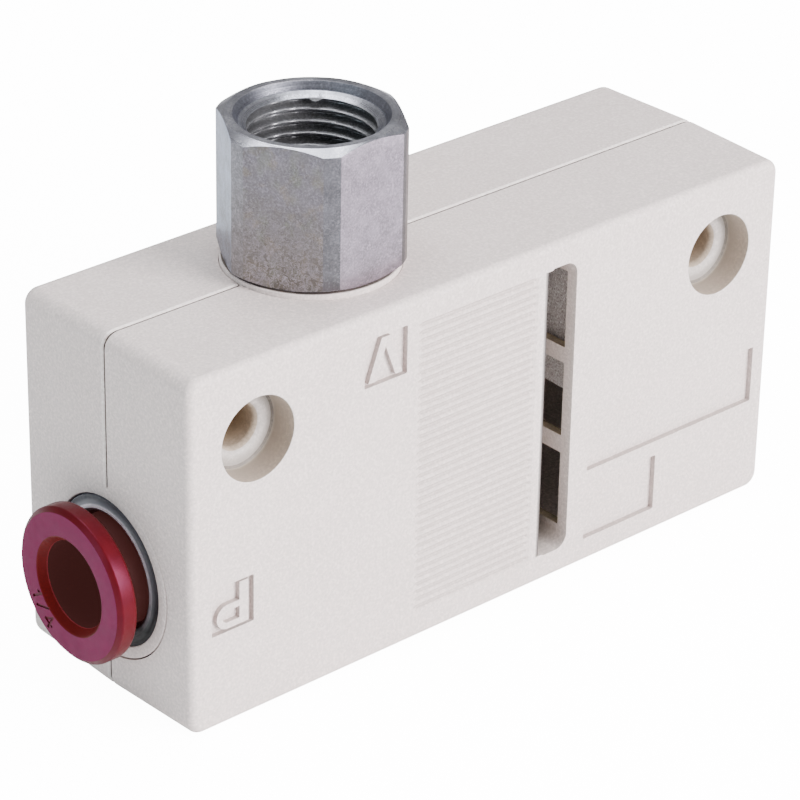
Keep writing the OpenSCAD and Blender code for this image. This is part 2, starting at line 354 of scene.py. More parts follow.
hole_floor_shade.set(Base_Color=hole_floor_shade.mix(hole_floor_shade.maprange(hl.outputs["Value"], 0.0021, 0.0030, 0, 1), hb, (0.31, 0.28, 0.255, 1)))
# painted shade in the holes' bores: a darker copy of the casing resin, darker with depth
hole_deep_shade = painted_depth_shade("casing_resin_hole_painted_shade", (0.40, 0.325, 0.255, 1), (0.26, 0.185, 0.115, 1), 2.6, 4.6)
# painted shade in the bottoms of the grip ribs: a darker copy of the resin
rib_groove_shade = plastic("casing_resin_rib_painted_shade", (0.550, 0.475, 0.455, 1), (0.525, 0.452, 0.433, 1))
# painted shade in the label recesses: a darker copy of the resin
recess_shade = plastic("casing_resin_recess_painted_shade", (0.50, 0.43, 0.41, 1), (0.47, 0.40, 0.38, 1))
# painted shadow on the ledges under the slot's windows
sill_shadow = plastic("casing_resin_sill_painted_shadow", (0.27, 0.23, 0.16, 1), (0.24, 0.205, 0.14, 1))
# painted shade and glow inside the chamber seen through the windows: a darker copy of the resin that gives off a little
# light
chamber_glow = plastic("casing_resin_inside_painted_glow", (0.60, 0.53, 0.50, 1), (0.57, 0.50, 0.47, 1))
chamber_glow.set(Emission_Color=(0.020, 0.0175, 0.0155, 1), Emission_Strength=0.5)
# painted shade in the counterbore's inside corner: a dark line
hole_corner_shade = plastic("casing_resin_corner_painted_shade", (0.19, 0.165, 0.14, 1), (0.17, 0.145, 0.125, 1))
# painted shade on the slot's rolled left lip, darker the more the lip turns into the slot
slot_lip_shade0 = plastic("casing_resin_lip_edge", (0.30, 0.27, 0.26, 1), (0.28, 0.25, 0.24, 1))
slot_lip_shade = plastic("casing_resin_lip", (0.11, 0.098, 0.094, 1), (0.10, 0.088, 0.084, 1))
slot_lip_shade2 = plastic("casing_resin_lip_deep", (0.045, 0.04, 0.036, 1), (0.04, 0.035, 0.032, 1))
# painted highlight on the bevels beside the seam and on the counterbores' rims: a lighter copy of the resin
edge_highlight = plastic("casing_resin_edge_painted_highlight", (0.82, 0.74, 0.71, 1), (0.80, 0.72, 0.69, 1))
# painted shade in the seam's groove, and on the collar's top under the hexagon
seam_shade = plastic("casing_resin_seam", (0.16, 0.13, 0.115, 1), (0.13, 0.105, 0.095, 1))
white = plastic("white_resin", srgb(226, 222, 220), srgb(221, 217, 214), rough=0.38, grain_um=3)

def red_finish(name, col, dark, rough, spec, tint, ior):
    m = Mat(name)
    c = m.mix(m.maprange(m.noise(1.2, 3), 0.35, 0.65, 0, 1), col, dark)
    m.set(Base_Color=c, Roughness=m.maprange(m.noise(0.8, 3), 0.3, 0.7, rough - 0.04, rough + 0.06),
          Specular_IOR_Level=spec, Specular_Tint=tint, IOR=ior,
          Normal=m.bump(m.noise(1.6, 2), 12, 0.6, m.bump(m.noise(0.14, 3), 2.0, 1.0)))
    return m


red = red_finish("red_resin", (0.072, 0.0040, 0.0046, 1), (0.062, 0.0032, 0.0040, 1), 0.36, 0.36, (0.9, 0.25, 0.58, 1), 1.40)
# painted reflection: the rim's flat face is a lighter, bluer copy of the red resin
red_face_reflection = red_finish("red_resin_face_painted_reflection", (0.132, 0.0012, 0.035, 1), (0.116, 0.001, 0.031, 1), 0.36, 0.42, (0.9, 0.05, 0.66, 1), 1.32)
# painted shade: a darker copy of the red resin for the bore and the neck behind the rim
red_deep_shade_glow = red_finish("red_resin_deep_painted_shade_glow", (0.016, 0.0035, 0.0032, 1), (0.013, 0.0028, 0.0026, 1), 0.55, 0.4, (0.8, 0.5, 0.5, 1), 1.4)
# painted glow: the bore and the neck behind the rim give off a little light of their own
red_deep_shade_glow.set(Emission_Color=(0.047, 0.0135, 0.0120, 1), Emission_Strength=0.9)
# painted highlight on the inner lip of the mouth: a lighter copy of the red resin
red_lip_highlight = red_finish("red_resin_lip_painted_highlight", (0.24, 0.030, 0.036, 1), (0.20, 0.026, 0.030, 1), 0.36, 0.4, (0.9, 0.3, 0.4, 1), 1.36)
# painted shading in the mouth's funnel: another copy of the red resin with its own tone
red_funnel_shading = red_finish("red_resin_funnel_painted_shading", (0.104, 0.0075, 0.0062, 1), (0.090, 0.0065, 0.0055, 1), 0.42, 0.3, (0.9, 0.16, 0.2, 1), 1.36)

def turned_coord(m):
    c2 = m.node("ShaderNodeCombineXYZ")
    m.link(radial(m, "Z"), c2.inputs[0]); m.link(split(m)[2], c2.inputs[1])
    return c2.outputs[0]


def by_polygon(ob, mats, rule):
    """extra materials on one piece, mostly painted shade, highlight, reflection and glow; rule gets a polygon's centre
    (mm, casing frame) and normal
    """
    me = ob.data
    for m in mats:
        me.materials.append(m.m)
    for p in me.polygons:
        k = rule(p.center * 1000 - OFF, p.normal)
        if k:
            p.material_index = k


def nickel_finish(name, up, low, mottle, rough, turned=False, bump_um=6, patch=0.0, warm=0.0):
    """up and low are the tones of the upper and lower part of the hexagon; the blend between them is a painted
    reflection
    """
    m = Mat(name)
    z = split(m)[2]
    fleck = m.noise(0.24, 3, 0.7)
    grain = m.noise(0.11, 2, 0.6)
    blotch = m.noise(2.6, 3, 0.55)
    zz = m.node("ShaderNodeMath", operation="MULTIPLY_ADD")
    m.link(blotch, zz.inputs[0]); zz.inputs[1].default_value = 0.005; m.link(z, zz.inputs[2])
    c = m.mix(m.maprange(zz.outputs[0], (19.0 + OFF.z) * 0.001, (25.0 + OFF.z) * 0.001, 0, 1), low, up)
    if warm:
        c = m.mix(m.maprange(m.noise(1.1, 2, 0.5), 0.52, 0.66, 0, warm), c, (low[0] * 1.10, low[1] * 1.0, low[2] * 0.86, 1))
        c = m.mix(m.maprange(m.noise(1.4, 2, 0.5, (1.2, 1.2, 0.8)), 0.54, 0.7, 0, warm), c, (low[0] * 0.86, low[1] * 1.0, low[2] * 0.86, 1))
    c = m.mix(m.maprange(fleck, 0.54, 0.72, 0, mottle), c, scaled(up, 1.75))
    c = m.mix(m.maprange(fleck, 0.46, 0.30, 0, mottle), c, scaled(low, 0.42))
    c = m.mix(m.maprange(grain, 0.34, 0.66, 0, 0.55), c, scaled(up, 0.45))
    c = m.mix(m.maprange(m.noise(0.17, 2, 0.6), 0.48, 0.70, 0, 0.5), c, scaled(up, 1.9))
    c = m.mix(m.maprange(m.noise(0.85, 3, 0.55), 0.36, 0.64, 0, 0.38), c, scaled(low, 0.62))
    c = m.mix(m.maprange(m.noise(1.3, 3, 0.55), 0.40, 0.66, 0, 0.30), c, scaled(up, 1.45))
    if warm:                                      # stains of the plating bath, a net of fine light and dark lines
        net = m.node("ShaderNodeMath", operation="SUBTRACT"); net.inputs[1].default_value = 0.5
        m.link(m.noise(0.55, 3, 0.6, dist=1.6), net.inputs[0])
        ab = m.node("ShaderNodeMath", operation="ABSOLUTE"); m.link(net.outputs[0], ab.inputs[0])
        lowz = m.maprange(zz.outputs[0], (17.5 + OFF.z) * 0.001, (23.5 + OFF.z) * 0.001, 0.75, 0.0)
        k = m.node("ShaderNodeMath", operation="MULTIPLY"); m.link(lowz, k.inputs[0]); m.link(m.maprange(ab.outputs[0], 0.0, 0.035, 1, 0), k.inputs[1])
        c = m.mix(k.outputs[0], c, scaled(up, 2.3))
        k = m.node("ShaderNodeMath", operation="MULTIPLY"); m.link(lowz, k.inputs[0]); m.link(m.maprange(net.outputs[0], 0.05, 0.11, 0, 0.8), k.inputs[1])
        c = m.mix(k.outputs[0], c, scaled(low, 0.5))
    if patch:
        c = m.mix(m.maprange(m.noise(3.4, 2, 0.5), 0.42, 0.58, 0, patch), c, scaled(low, 0.30))
    if turned:
        keep = m.co
        m.co = turned_coord(m)
        lines = m.noise(0.15, 3, 0.6)
        m.co = keep
    else:
        lines = m.noise(0.2, 4, 0.7, stretch=(2.2, 2.2, 0.22))
    m.set(Base_Color=c, Metallic=1.0, Roughness=m.maprange(lines, 0.3, 0.7, rough - 0.05, rough + 0.1),
          Normal=m.bump(grain, bump_um * 0.35, 1.0, m.bump(fleck, bump_um, 1.0, m.bump(lines, bump_um * 0.8, 1.0))))
    return m


# copies of the one nickel plating: the tones that differ between facets, corners, ends, countersink, step, bore and
# crests are painted reflection, highlight and shade; the mottle within each is the plating's own
nickel = nickel_finish("nickel_plate", (0.24, 0.225, 0.24, 1), (0.22, 0.20, 0.195, 1), 0.5, 0.34)
nickel_mid = nickel_finish("nickel_mid_mottle_and_reflection", (0.180, 0.169, 0.194, 1), (0.214, 0.202, 0.184, 1), 0.45, 0.36, bump_um=9, warm=0.7)
nickel_left = nickel_finish("nickel_left_painted_reflection", (0.30, 0.345, 0.46, 1), (0.095, 0.10, 0.125, 1), 0.22, 0.30)
nickel_right = nickel_finish("nickel_right_painted_reflection", (0.30, 0.258, 0.312, 1), (0.28, 0.248, 0.285, 1), 0.35, 0.34, bump_um=6)
nickel_strip = nickel_finish("nickel_corner", (0.135, 0.132, 0.150, 1), (0.128, 0.124, 0.132, 1), 0.35, 0.36, bump_um=5)
nickel_strip2 = nickel_finish("nickel_corner_painted_highlight", (0.235, 0.232, 0.255, 1), (0.215, 0.205, 0.205, 1), 0.25, 0.36, bump_um=5)
nickel_t = nickel_finish("nickel_turned_painted_highlight", (0.60, 0.60, 0.68, 1), (0.56, 0.56, 0.64, 1), 0.35, 0.28, True, 6, patch=0.5)
nickel_c = nickel_finish("nickel_countersink", (0.26, 0.265, 0.315, 1), (0.24, 0.245, 0.29, 1), 0.35, 0.30, True, 7)
nickel_d = nickel_finish("nickel_step_painted_highlight", (0.42, 0.425, 0.475, 1), (0.40, 0.405, 0.455, 1), 0.35, 0.25, True, 6)
nickel_b = nickel_finish("nickel_bore_painted_shade", (0.25, 0.25, 0.262, 1), (0.23, 0.23, 0.24, 1), 0.4, 0.45, True, 3)
nickel_k = nickel_finish("nickel_crest_painted_highlight", (0.42, 0.42, 0.44, 1), (0.40, 0.40, 0.42, 1), 0.25, 0.40, True, 2)

# painted light on the guide: a bright painted highlight band on its crest between dark bands, and the whole colour
# scaled from 0.1 at the bottom to 4.8 at the top
guide_painted_light = Mat("polished_guide_painted_light")
gr = guide_painted_light.ramp(guide_painted_light.maprange(radial(guide_painted_light, "X"), 0.0042, 0.0058, 0, 1),
                  [(0.0, (0.02, 0.014, 0.017, 1)), (0.325, (0.03, 0.024, 0.028, 1)), (0.375, (0.27, 0.26, 0.29, 1)), (0.45, (0.27, 0.26, 0.29, 1)),
                   (0.545, (0.055, 0.056, 0.062, 1)), (0.80, (0.020, 0.021, 0.025, 1)), (1.0, (0.014, 0.014, 0.017, 1))])
gmet = guide_painted_light.maprange(radial(guide_painted_light, "X"), 0.0042, 0.0058, 0.35, 0.12)
gc = guide_painted_light.mix(guide_painted_light.maprange(guide_painted_light.noise(0.5, 3), 0.4, 0.7, 0, 0.3), gr, (0.05, 0.048, 0.055, 1))
gz = guide_painted_light.maprange(split(guide_painted_light)[2], (AXZ - 3.2 + OFF.z) * 0.001, (AXZ + 4.8 + OFF.z) * 0.001, 0.1, 4.8)
gv = guide_painted_light.node("ShaderNodeVectorMath", operation="SCALE"); guide_painted_light.link(gc, gv.inputs[0]); guide_painted_light.link(gz, gv.inputs["Scale"])
guide_painted_light.set(Specular_IOR_Level=0.28, Base_Color=gv.outputs[0], Metallic=gmet, Roughness=guide_painted_light.maprange(guide_painted_light.noise(0.6, 3), 0.3, 0.7, 0.3, 0.42),
            Normal=guide_painted_light.bump(guide_painted_light.noise(0.25, 3), 1.5, 1.0))

steel = Mat("spring_steel")
steel.set(Base_Color=steel.mix(steel.maprange(steel.noise(0.8, 3), 0.35, 0.65, 0, 1), srgb(190, 190, 192), srgb(160, 160, 164)),
          Metallic=1.0, Roughness=steel.maprange(steel.noise(0.4, 3), 0.3, 0.7, 0.2, 0.32),
          Normal=steel.bump(steel.noise(0.3, 3), 2, 1.0))

brass = Mat("turned_brass")
brass.set(Base_Color=brass.mix(brass.maprange(brass.noise(1.5, 3), 0.35, 0.65, 0, 1), srgb(205, 170, 95), srgb(186, 148, 78)),
          Metallic=1.0, Roughness=brass.maprange(brass.noise(0.4, 3), 0.3, 0.7, 0.2, 0.35),
          Normal=brass.bump(brass.noise(0.2, 2, 0.5, stretch=(3, 0.5, 0.5)), 3, 1.0))

rubber = Mat("seal_rubber")
rubber.set(Base_Color=rubber.mix(rubber.maprange(rubber.noise(1.0, 3), 0.35, 0.65, 0, 1), srgb(38, 37, 37), srgb(28, 27, 27)),
           Roughness=rubber.maprange(rubber.noise(0.5, 3), 0.3, 0.7, 0.45, 0.6),
           Normal=rubber.bump(rubber.noise(0.15, 3), 4, 1.0))

felt = Mat("silencer_felt")
f1 = felt.noise(0.12, 5, 0.7, stretch=(1, 1, 0.8), dist=0.6)
f2 = felt.noise(0.9, 3, 0.6)
fc = felt.ramp(f1, [(0.33, srgb(80, 76, 74)), (0.45, srgb(142, 138, 136)), (0.55, srgb(166, 163, 163)), (0.69, srgb(222, 220, 220))])
fc = felt.mix(felt.maprange(f2, 0.45, 0.7, 0, 0.2), fc, srgb(140, 134, 128))
# painted shade: the felt darkens with depth into the casing
fc = felt.mix(felt.maprange(split(felt)[1], (-FD + 1.6 + OFF.y) * 0.001, (-FD + 5.4 + OFF.y) * 0.001, 0, 0.30), fc, srgb(92, 90, 86))
felt.set(Base_Color=fc, Roughness=0.95, Specular_IOR_Level=0.15, Sheen_Weight=0.2, Sheen_Roughness=0.6,
         Normal=felt.bump(f1, 45, 1.0))

# ---------------------------------------------------------------- casing halves
def ring_xz(a, b, r, y, k=8):
    pts = []
    for sx, sz, a0 in ((1, 1, 0), (-1, 1, 90), (-1, -1, 180), (1, -1, 270)):
        cx, cz = sx * (a - r), sz * (b - r)
        for i in range(k + 1):
            t = math.radians(a0 + 90 * i / k)
            pts.append((cx + r * math.cos(t), y, cz + r * math.sin(t)))
    return pts


RC = 1.15


def half(name, d, sign, rf):
    if sign > 0:
        st = [(0.85, 0.0), (0.80, 0.045), (0.13, 0.055), (0.065, 0.10), (0.02, 0.17), (0.0, 0.25)]
    else:
        st = [(0.85, 0.0), (0.80, 0.045), (0.20, 0.06), (0.10, 0.12), (0.03, 0.20), (0.0, 0.28)]
    y0 = st[-1][1]
    for q in range(1, 4):
        st.append((0.0, y0 + (d - rf - y0) * q / 3))
    for i in range(1, 9):
        t = math.radians(90 * i / 8)
        st.append((rf * (1 - math.cos(t)), d - rf + rf * math.sin(t)))
    rings = []
    for ins, y in st:
        a = HL - 0.0135 * y - ins; b = HH - 0.0205 * y - ins
        rings.append(ring_xz(a, b, max(RC - ins * 0.75, 0.25), sign * y))
    return loft(name, rings)


def cyl(axis, c0, c1, r0, r1=None, n=96):
    r1 = r0 if r1 is None else r1
    if axis == "X":
        return solid_rev("t", [(c0, r0), (c1, r1)], "X", n)
    return solid_rev("t", [(c0, r0), (c1, r1)], "Z", n, (PX, 0, 0))


def flow_tools():
    return [cyl("X", -HL - 1, -15.8, 6.74), cyl("X", -15.9, -13.5, 4.05), cyl("X", -13.6, -6.0, 4.4),
            cyl("X", -6.1, -2.4, 3.65), cyl("X", -2.5, 9.1, 3.08),
            cyl("Z", AXZ, 4.3, 2.5), cyl("Z", 4.2, HH + 1, 5.1), cyl("Z", 8.9, 11.1, 6.3), cyl("Z", 12.2, HH + 1, 6.65)]


def hole_tool(s, front):
    """through hole with its counterbore, the floor of which rolls into the hole"""
    x = s * 45.3 / 2
    y = -FD
    prof = [(y - 1, 3.32), (y, 3.32), (y + 0.05, 3.26), (y + 0.12, 3.25), (y + 1.95, 3.22), (y + 2.12, 3.12), (y + 2.22, 2.92), (y + 2.20, 2.7), (y + 2.16, 2.45)]
    for i in range(1, 7):
        t = math.radians(90 * i / 6)
        prof.append((y + 2.16 + 0.7 * (1 - math.cos(t)), 2.35 - 0.7 * math.sin(t)))
    prof.append((RD + 1, 1.65))
    n = 64; rings = []
    for t, r in prof:
        rings.append([(x + r * math.cos(2 * math.pi * i / n), t, 7.95 + r * math.sin(2 * math.pi * i / n)) for i in range(n)])
    return loft("t", rings)


def chamber_tool(y0, y1):
    t = boxm("t", 8.3, 26.6, y0, y1, -12.5, 12.2)
    n = 64
    rings = [[(22.65 + 4.3 * math.cos(2 * math.pi * i / n), y, 7.95 + 4.3 * math.sin(2 * math.pi * i / n)) for i in range(n)] for y in (y0 - 1, y1 + 1)]
    cut(t, loft("c", rings))
    return t


def letter_p():
    pts = [(-1.45, -1.7), (-0.65, -1.7), (-0.65, -0.25)]
    cx, cz, r = 0.425, 0.725, 0.975
    for i in range(25):
        t = math.radians(-90 + 180 * i / 24)
        pts.append((cx + r * math.cos(t), cz + r * math.sin(t)))
    pts.append((-1.45, 1.7))
    hole = [(-0.65, 0.25)]
    for i in range(17):
        t = math.radians(-90 + 180 * i / 16)
        hole.append((cx + 0.475 * math.cos(t), cz + 0.475 * math.sin(t)))
    hole.append((-0.65, 1.2))
    return pts, hole


def raised(pts, x, z, hole=None, top=0.05):
    tr = lambda P: [(x - a, z - b) for a, b in P]
    o = prism("l", tr(pts), -FD + 0.46, -FD + top)
    if hole:
        cut(o, prism("h", tr(hole), -FD + 2, -FD - 1))
    return o


def build_front():
    f = half("front_cover_skin", FD, -1, 0.62)
    for t in flow_tools():
        cut(f, t)
    cut(f, chamber_tool(-FD + 1.0, 1))
    for s in (-1, 1):
        cut(f, hole_tool(s, True))
    # exhaust slot, its right end corners rounded, and its windows
    x0, x1, z0, z1 = SLOT
    sl = round_poly([(x0, z0), (x1, z0), (x1, z1), (x0, z1)], [0.25, 1.1, 1.1, 0.25], 8)
    cut(f, prism("t", sl, -FD - 1, -FD + 5.1))
    for a, b in WINS:
        cut(f, boxm("t", x1 - 0.5, x1 + 2, -FD + 1.0, -FD + 4.9, a, b))
    # the slot's left edge is rolled over
    rl = x0 - SX
    tl = [math.radians(t) for t in (10, 24, 38, 52, 66, 80)]
    lip = [(SX + rl * math.sin(tl[0]) - (rl * (1 - math.cos(tl[0])) + 0.02) / math.tan(tl[0]), -FD - 0.02)]
    for t, u in zip(tl[:-1], tl[1:]):
        m = (t + u) / 2; r = rl / math.cos((u - t) / 2)
        lip.append((SX + r * math.sin(m), -FD + rl - r * math.cos(m)))
    t = tl[-1]
    lip.append((x0 + 0.02, -FD + rl - rl * math.cos(t) + (x0 + 0.02 - SX - rl * math.sin(t)) * math.tan(t)))
    lip += [(x0 + 0.3, lip[-1][1] + 0.05), (x0 + 0.3, -FD - 1), (lip[0][0], -FD - 1)]
    cut(f, loft("t", [[(u, v, z) for u, v in lip] for z in (z0 + 0.12, z1 - 0.12)]))
    # label recesses
    for (a, b, c, d) in ((-13.0, -9.0, 8.5, 12.3), (-26.9, -23.1, -6.5, -2.7), (9.5, 27.2, -6.15, -1.45), (9.4, 16.9, -12.1, -7.4)):
        cut(f, prism("t", round_poly([(a, c), (b, c), (b, d), (a, d)], [0.12] * 4, 3), -FD - 1, -FD + 0.45))
    V = [(-1.6, 1.65), (-0.95, 1.65), (0, -0.85), (0.95, 1.65), (1.6, 1.65), (0.4, -1.65), (-0.4, -1.65)]
    cut(f, raised(V, -11.0, 10.4), "UNION")
    P, H = letter_p()
    cut(f, raised(P, -25.0, -4.6, H), "UNION")
    finish_mesh(f)
    bevel(f, 0.11, 2, 34)
    # grip panel: fine rounded ribs
    n = 37; pitch = 0.65; z = -11.9; secs = []
    for x, amp in ((-8.05, -0.01), (-7.8, 0.16), (-7.5, 0.25), (SX - 1.05, 0.25), (SX - 0.8, 0.16), (SX - 0.6, -0.01)):
        sec = []
        for i in range(n * 8 + 1):
            u = i / 8
            h = 0.5 - 0.5 * math.cos(2 * math.pi * u)
            sec.append((x, -FD - 0.02 + amp * (h ** 0.8), z + u * pitch))
        secs.append(sec + [(x, -FD - 1, z + n * pitch), (x, -FD - 1, z)])
    cut(f, loft("t", secs))
    return f


def build_rear():
    r = half("rear_casing_skin", RD, 1, 0.95)
    for t in flow_tools():
        cut(r, t)
    cut(r, chamber_tool(-1, RD - 1.4))
    for s in (-1, 1):
        cut(r, hole_tool(s, False))
    finish_mesh(r)
    bevel(r, 0.11, 2, 34)
    return r


front = place(build_front(), "housing", ["front_cover"], casing.m)
rear = place(build_rear(), "housing", ["rear_casing"], casing.m)


def seam_wall(c):
    return abs(c.y) < 0.060


def seam_edge(c):
    return abs(c.y) < 0.24 and (abs(c.x) > HL - 0.3 or abs(c.z) > HH - 0.3)


# which painted tone goes where on the front: painted shade in the ribs, the slot with its ledges and lip, the holes,
# the recesses and the seam; painted highlight on the seam's bevels and counterbore rims; painted shade and glow in the
# chamber
def front_rule(c, n):
    x0, x1, z0, z1 = SLOT
    if -7.98 < c.x < SX - 0.66 and c.y < -FD + 0.4 and abs(c.z) < 12.3 and c.y > -FD + 0.14: return 14
    if SX - 0.02 < c.x < x0 + 0.02 and z0 < c.z < z1 and c.y < -FD + 0.6 and n.x > 0.1:
        return 8 if n.x > 0.5 else 7 if n.x > 0.3 else 10
    if x1 + 0.02 < c.x < 8.32 and c.y < -FD + 5.2 and n.z > 0.7 and z0 < c.z < z1: return 11
    if x0 - 0.05 < c.x < 9.0 and z0 - 0.05 < c.z < z1 + 0.05 and c.y > -FD + 0.3: return 1
    for s in (-1, 1):
        r = math.hypot(c.x - s * 22.65, c.z - 7.95); d = c.y + FD
        if r < 3.4 and 0.003 < d <= 0.03: return 9
        if r < 3.4 and d > 0.03:
            return 2 if d < 2.1 else 5 if d < 2.19 and r > 2.95 else 4 if r > 1.85 else 6
    if 8.3 < c.x < 26.65 and abs(c.z) < 12.6 and -FD + 0.9 < c.y: return 13
    if -FD + 0.03 < c.y < -FD + 0.5 and n.y > -0.72:
        for a, b, e, f in ((-13.2, -8.8, 8.3, 12.5), (-27.1, -22.9, -6.7, -2.5), (9.3, 27.4, -6.35, -1.25), (9.2, 17.1, -12.3, -7.2)):
            if a < c.x < b and e < c.z < f: return 12
    if seam_wall(c): return 3
    if seam_edge(c): return 9
    return 0


by_polygon(front, [casing_slot_shade, hole_wall_shade, seam_shade, hole_floor_shade, hole_corner_shade, hole_deep_shade, slot_lip_shade, slot_lip_shade2, edge_highlight, slot_lip_shade0, sill_shadow, recess_shade, chamber_glow, rib_groove_shade], front_rule)


# on the rear: painted shade and glow in the chamber, painted shade in the seam, painted highlight on its bevels
def rear_rule(c, n):
    if 8.3 < c.x < 26.65 and abs(c.z) < 12.6 and 0.05 < c.y < RD - 1.3: return 3
    return 1 if seam_wall(c) else 2 if seam_edge(c) else 0


by_polygon(rear, [seam_shade, edge_highlight, chamber_glow], rear_rule)

# ---------------------------------------------------------------- supply fitting
E0 = -HL
rx0 = E0 - 3.45
ring_prof = round_poly(
    [(rx0 + 0.60, 3.31), (rx0 + 0.05, 3.74), (rx0, 3.82), (rx0, 5.58), (rx0 + 0.30, 5.95), (rx0 + 1.56, 5.95),
     (rx0 + 1.6, 4.2), (E0 + 3.9, 4.2), (E0 + 4.4, 3.75), (E0 + 4.4, 3.31)],
    [0.12, 0.04, 0.05, 0.12, 0.20, 0.24, 0.25, 0.1, 0.1, 0.1], 6)
ring = revolve("release_ring_skin", ring_prof, "X", 160)
# size mark of the tube, engraved in the rim's face along its circle
def mark_bar(p, q, w, depth, deg, r):
    """one engraved stroke from p to q (mm: across, up), standing on the circle of radius r"""
    p, q = Vector(p), Vector(q)
    t = (q - p).normalized() * (w / 2); k = Vector((-t.y, t.x))
    corners = [p - t - k, q + t - k, q + t + k, p - t + k]
    verts = [(d, -c.x, c.y) for d in (-0.2, depth) for c in corners]
    faces = [(3, 2, 1, 0), (4, 5, 6, 7), (0, 1, 5, 4), (1, 2, 6, 5), (2, 3, 7, 6), (3, 0, 4, 7)]
    mo = new_obj("mark", verts, faces)
    bm = bmesh.new(); bm.from_mesh(mo.data)
    bmesh.ops.recalc_face_normals(bm, faces=bm.faces)
    bm.to_mesh(mo.data); bm.free()
    # the feet of the characters point away from the bore, and they read from -X
    mo.data.transform(Matrix.Rotation(math.pi, 4, "X"))
    mo.data.transform(Matrix.Translation((0, 0, r)))
    mo.data.transform(Matrix.Rotation(math.radians(deg), 4, "X"))
    mo.data.transform(Matrix.Translation((rx0, 0, AXZ)))
    return mo


MARK = {"1": [((0.0, -0.52), (0.0, 0.52)), ((0.0, 0.52), (-0.24, 0.28))],
        "/": [((-0.36, -0.56), (0.36, 0.56))],
        "4": [((0.16, -0.58), (0.16, 0.58)), ((0.16, 0.58), (-0.36, -0.2)), ((-0.36, -0.2), (0.40, -0.2))]}
depth = 0.080
for ch, deg, rm in (("1", -122.0, 4.46), ("/", -134.0, 4.44), ("4", -148.0, 4.62)):
    for u, v in MARK[ch]:
        cut(ring, mark_bar(u, v, 0.20, depth, deg, rm)); depth += 0.0017
place(ring, "release", ["release_ring"], red.m, angle=40)


# which copy of the red resin goes where: painted reflection on the face, painted shade and glow in the bore and on the
# neck, painted shading in the funnel, painted highlight on the inner lip
def ring_rule(c, n):
    r = math.hypot(c.y, c.z - AXZ)
    if c.x > rx0 + 1.5 and r < 5.2: return 2
    if rx0 + 0.50 < c.x < rx0 + 0.76 and r < 3.45: return 4
    if r < 3.36: return 2
    if c.x < rx0 + 0.62 and r < 3.80: return 3
    if c.x < rx0 + 0.02 and 3.8 < r < 5.62 and n.x < -0.95: return 1
    return 0


by_polygon(ring, [red_face_reflection, red_deep_shade_glow, red_funnel_shading, red_lip_highlight], ring_rule)

gp = round_poly([(E0 + 0.55, 4.32), (E0 + 0.20, 4.50), (E0 + 0.03, 4.72), (E0 + 0.03, 4.98), (E0 + 0.22, 5.30), (E0 + 0.10, 5.70), (E0 + 0.20, 5.78), (E0 + 5.2, 5.78), (E0 + 5.2, 4.25), (E0 + 0.95, 4.25)],
                [0.2, 0.3, 0.14, 0.14, 0.4, 0.08, 0.06, 0.1, 0.1, 0.2], 6)
guide = place(revolve("fitting_guide_skin", gp, "X", 128), "housing", ["fitting_guide"], guide_painted_light.m, angle=40)

sp = round_poly([(E0 + 0.02, 5.80), (E0 + 0.02, 6.69), (-17.5, 6.69), (-17.5, 5.70), (-16.3, 5.70), (-16.3, 6.69), (-15.9, 6.69), (-15.9, 2.0), (-17.0, 2.0), (-17.0, 3.3), (-17.8, 3.3), (-17.8, 5.25), (-23.65, 5.25), (-23.65, 5.80)],
                [0.10, 0.10, 0.08, 0.08, 0.08, 0.08, 0.1, 0.1, 0.1, 0.1, 0.1, 0.1, 0.1, 0.1], 4)
seat = place(revolve("fitting_seat_skin", sp, "X", 128), "housing", ["fitting_seat"], casing.m, angle=40)
seat.data.transform(Matrix.Translation((0, 0.00003, 0.00006)))

